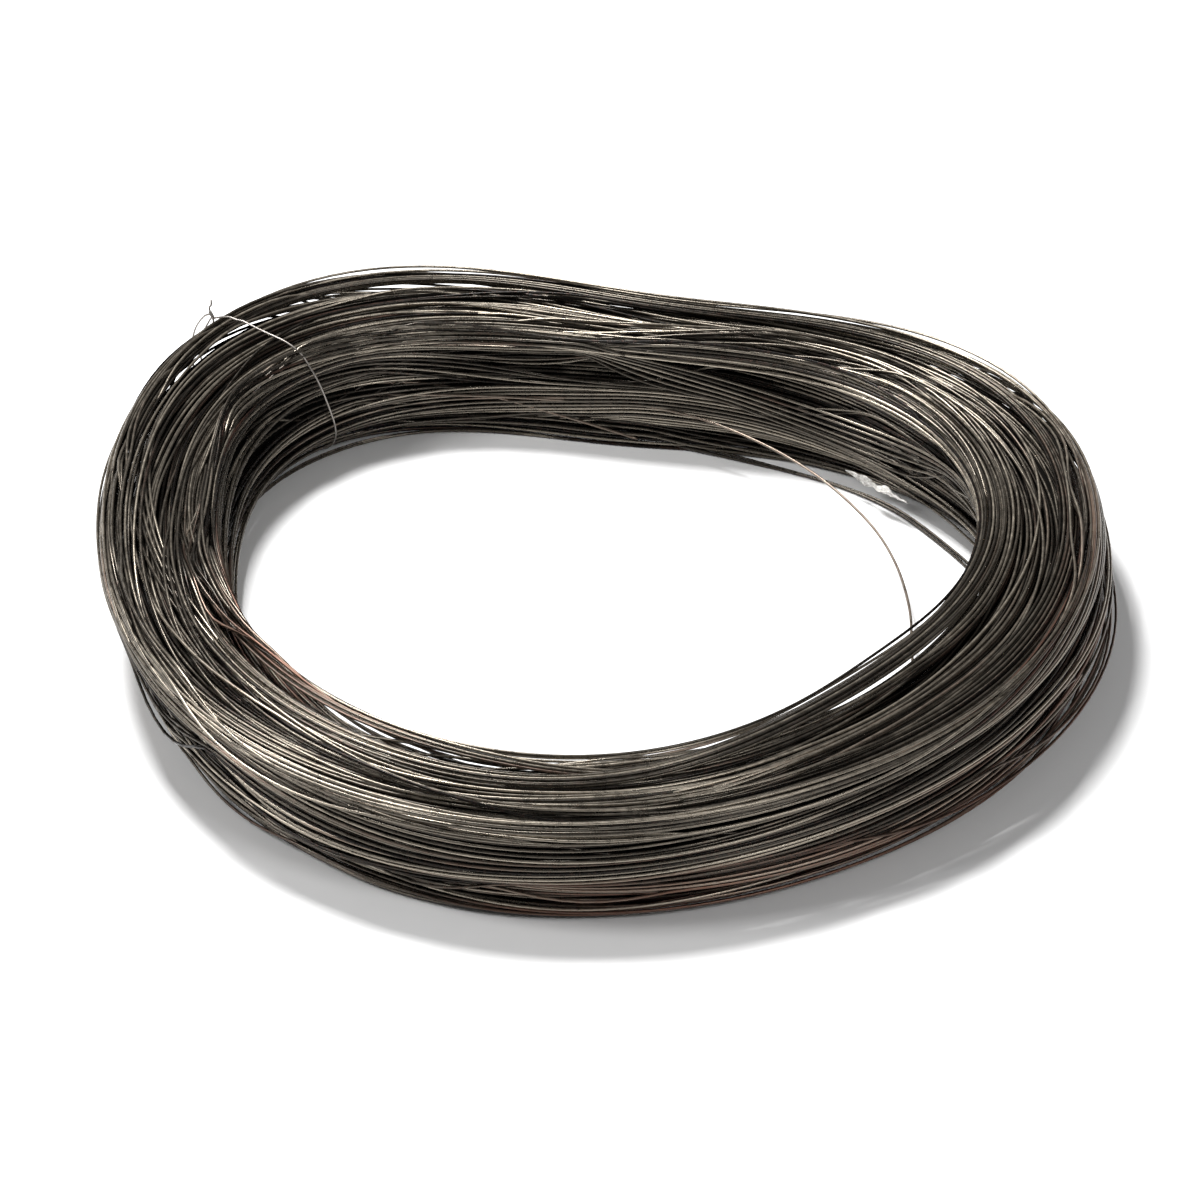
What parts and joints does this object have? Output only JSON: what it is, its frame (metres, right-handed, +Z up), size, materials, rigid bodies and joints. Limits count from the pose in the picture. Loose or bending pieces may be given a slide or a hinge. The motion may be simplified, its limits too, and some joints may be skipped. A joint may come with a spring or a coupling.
{
  "type": "wire coil",
  "caption": "Coil of dark annealed steel wire lying flat, wound loosely with a wide bore, bound by a tie wire, with a scrap of tape inside.",
  "frame": {"origin": "middle of the coil's footprint, on the floor it lies on", "axes": "+Z up along the coil's axis, +Y away from the picture's viewpoint, +X to the picture's right"},
  "size_m": [0.4224, 0.4048, 0.0673],
  "materials": {
    "annealed_wire": "satin",
    "tie_wire": "satin",
    "tape": "matte"
  },
  "bodies": {
    "root": {"wire_coil": "annealed_wire", "loose_turn": "annealed_wire", "tie_wire": "tie_wire", "tape_strip": "tape"}
  },
  "joints": []
}
